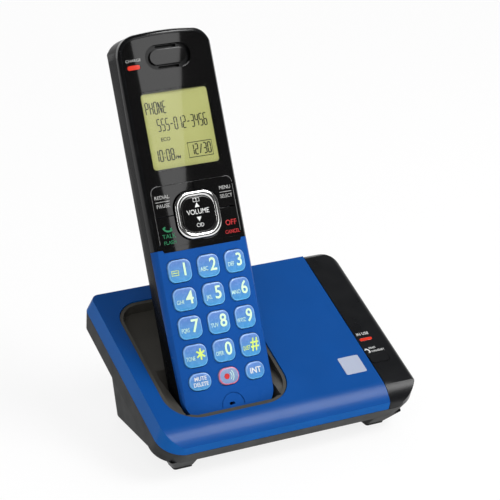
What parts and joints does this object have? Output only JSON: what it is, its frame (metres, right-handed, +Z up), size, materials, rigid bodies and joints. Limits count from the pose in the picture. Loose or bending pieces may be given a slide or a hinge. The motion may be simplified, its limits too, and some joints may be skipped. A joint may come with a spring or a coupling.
{
  "type": "cordless phone",
  "caption": "Cordless phone handset with a display, keypad and navigation key, leaning back in a sloped charging base with a pager button and jacks.",
  "frame": {"origin": "on the ground, at the centre of the whole phone's footprint box", "axes": "+X to the right seen from the front, +Y to the rear, +Z up"},
  "size_m": [0.127, 0.0952, 0.1791],
  "materials": {
    "blue_shell": "satin blue, smooth",
    "black_shell": "satin black",
    "black_gloss": "polished black",
    "liner": "matt dark brown-grey",
    "clear_window": "clear, polished",
    "lcd": "yellow-green display",
    "white_plastic": "white, matt",
    "key_blue": "pale translucent blue, satin",
    "chrome": "bright ring",
    "red_clear": "red light window",
    "silicone": "grey silicone rubber",
    "rubber": "matt rubber",
    "board_green": "green board with parts",
    "steel": "plated steel",
    "brass": "plated contact",
    "label": "pale blank label",
    "cell_wrap": "green cell wrap",
    "speaker_black": "black frame and cone"
  },
  "bodies": {
    "base": {"base_bottom_shell": "black_shell", "base_top_shell": "blue_shell", "base_end_cap": "black_shell", "cradle_liner": "liner", "in_use_light": "red_clear", "blank_label": "label", "base_board": "board_green", "jack_board": "board_green", "line_jack": "black_shell", "power_jack": "black_shell", "base_screws": "steel", "foot_pads": "rubber"},
    "handset": {"rear_housing": "black_shell", "upper_front_housing": "black_shell", "lower_faceplate": "blue_shell", "faceplate": "black_gloss", "display_window": "clear_window", "lcd_panel": "lcd", "display_backlight": "white_plastic", "earpiece_bar": "black_gloss", "earpiece_speaker": "speaker_black", "charge_light": "red_clear", "keypad_mat": "silicone", "handset_board": "board_green", "microphone": "speaker_black", "battery_pack": "cell_wrap", "loudspeaker": "speaker_black", "handset_charge_contacts": "brass", "handset_screws": "steel"},
    "key_1": {"key_1": "key_blue"},
    "key_2": {"key_2": "key_blue"},
    "key_3": {"key_3": "key_blue"},
    "key_4": {"key_4": "key_blue"},
    "key_5": {"key_5": "key_blue"},
    "key_6": {"key_6": "key_blue"},
    "key_7": {"key_7": "key_blue"},
    "key_8": {"key_8": "key_blue"},
    "key_9": {"key_9": "key_blue"},
    "key_star": {"key_star": "key_blue"},
    "key_0": {"key_0": "key_blue"},
    "key_hash": {"key_hash": "key_blue"},
    "key_mute": {"key_mute": "key_blue"},
    "key_speaker": {"key_speaker": "key_blue"},
    "key_intercom": {"key_intercom": "key_blue"},
    "redial_key": {"redial_key": "black_gloss"},
    "menu_key": {"menu_key": "black_gloss"},
    "talk_key": {"talk_key": "black_gloss"},
    "off_key": {"off_key": "black_gloss"},
    "navigation": {"nav_key": "black_gloss", "nav_ring": "chrome"},
    "battery_door": {"battery_door": "black_shell"},
    "find_button": {"find_button": "black_shell"},
    "contact_left": {"cradle_contact_left": "brass"},
    "contact_right": {"cradle_contact_right": "brass"}
  },
  "joints": [
    {"name": "handset_lift", "type": "slide", "parent": "base", "child": "handset", "axis": [0, 0.4051, 0.9143], "range_m": [0, 0.075]},
    {"name": "key_1_press", "type": "slide", "parent": "handset", "child": "key_1", "axis": [0, 0.9143, -0.4051], "range_m": [0, 0.0006], "stiffness_N_per_m": 1500, "springref_m": -0.0003},
    {"name": "key_2_press", "type": "slide", "parent": "handset", "child": "key_2", "axis": [0, 0.9143, -0.4051], "range_m": [0, 0.0006], "stiffness_N_per_m": 1500, "springref_m": -0.0003},
    {"name": "key_3_press", "type": "slide", "parent": "handset", "child": "key_3", "axis": [0, 0.9143, -0.4051], "range_m": [0, 0.0006], "stiffness_N_per_m": 1500, "springref_m": -0.0003},
    {"name": "key_4_press", "type": "slide", "parent": "handset", "child": "key_4", "axis": [0, 0.9143, -0.4051], "range_m": [0, 0.0006], "stiffness_N_per_m": 1500, "springref_m": -0.0003},
    {"name": "key_5_press", "type": "slide", "parent": "handset", "child": "key_5", "axis": [0, 0.9143, -0.4051], "range_m": [0, 0.0006], "stiffness_N_per_m": 1500, "springref_m": -0.0003},
    {"name": "key_6_press", "type": "slide", "parent": "handset", "child": "key_6", "axis": [0, 0.9143, -0.4051], "range_m": [0, 0.0006], "stiffness_N_per_m": 1500, "springref_m": -0.0003},
    {"name": "key_7_press", "type": "slide", "parent": "handset", "child": "key_7", "axis": [0, 0.9143, -0.4051], "range_m": [0, 0.0006], "stiffness_N_per_m": 1500, "springref_m": -0.0003},
    {"name": "key_8_press", "type": "slide", "parent": "handset", "child": "key_8", "axis": [0, 0.9143, -0.4051], "range_m": [0, 0.0006], "stiffness_N_per_m": 1500, "springref_m": -0.0003},
    {"name": "key_9_press", "type": "slide", "parent": "handset", "child": "key_9", "axis": [0, 0.9143, -0.4051], "range_m": [0, 0.0006], "stiffness_N_per_m": 1500, "springref_m": -0.0003},
    {"name": "key_star_press", "type": "slide", "parent": "handset", "child": "key_star", "axis": [0, 0.9143, -0.4051], "range_m": [0, 0.0006], "stiffness_N_per_m": 1500, "springref_m": -0.0003},
    {"name": "key_0_press", "type": "slide", "parent": "handset", "child": "key_0", "axis": [0, 0.9143, -0.4051], "range_m": [0, 0.0006], "stiffness_N_per_m": 1500, "springref_m": -0.0003},
    {"name": "key_hash_press", "type": "slide", "parent": "handset", "child": "key_hash", "axis": [0, 0.9143, -0.4051], "range_m": [0, 0.0006], "stiffness_N_per_m": 1500, "springref_m": -0.0003},
    {"name": "key_mute_press", "type": "slide", "parent": "handset", "child": "key_mute", "axis": [0, 0.9143, -0.4051], "range_m": [0, 0.0006], "stiffness_N_per_m": 1500, "springref_m": -0.0003},
    {"name": "key_speaker_press", "type": "slide", "parent": "handset", "child": "key_speaker", "axis": [0, 0.9143, -0.4051], "range_m": [0, 0.0006], "stiffness_N_per_m": 1500, "springref_m": -0.0003},
    {"name": "key_intercom_press", "type": "slide", "parent": "handset", "child": "key_intercom", "axis": [0, 0.9143, -0.4051], "range_m": [0, 0.0006], "stiffness_N_per_m": 1500, "springref_m": -0.0003},
    {"name": "redial_key_press", "type": "slide", "parent": "handset", "child": "redial_key", "axis": [0, 0.9143, -0.4051], "range_m": [0, 0.0005], "stiffness_N_per_m": 1500, "springref_m": -0.0003},
    {"name": "menu_key_press", "type": "slide", "parent": "handset", "child": "menu_key", "axis": [0, 0.9143, -0.4051], "range_m": [0, 0.0005], "stiffness_N_per_m": 1500, "springref_m": -0.0003},
    {"name": "talk_key_press", "type": "slide", "parent": "handset", "child": "talk_key", "axis": [0, 0.9143, -0.4051], "range_m": [0, 0.0005], "stiffness_N_per_m": 1500, "springref_m": -0.0003},
    {"name": "off_key_press", "type": "slide", "parent": "handset", "child": "off_key", "axis": [0, 0.9143, -0.4051], "range_m": [0, 0.0005], "stiffness_N_per_m": 1500, "springref_m": -0.0003},
    {"name": "navigation_rock", "type": "hinge", "parent": "handset", "child": "navigation", "pos_m": [-0.0254, 0.0052, 0.1018], "axis": [1, 0, 0], "range_deg": [-2.5, 2.5], "stiffness_Nm_per_rad": 0.2},
    {"name": "battery_door_slide", "type": "slide", "parent": "handset", "child": "battery_door", "axis": [0, -0.4051, -0.9143], "range_m": [0, 0.008]},
    {"name": "find_button_press", "type": "slide", "parent": "base", "child": "find_button", "axis": [0, 0.3955, -0.9184], "range_m": [0, 0.0005], "stiffness_N_per_m": 1500, "springref_m": -0.0003},
    {"name": "contact_left_press", "type": "slide", "parent": "base", "child": "contact_left", "axis": [0, 0.6304, -0.7763], "range_m": [0, 0.0008], "stiffness_N_per_m": 600, "springref_m": -0.0004},
    {"name": "contact_right_press", "type": "slide", "parent": "base", "child": "contact_right", "axis": [0, 0.6304, -0.7763], "range_m": [0, 0.0008], "stiffness_N_per_m": 600, "springref_m": -0.0004}
  ]
}
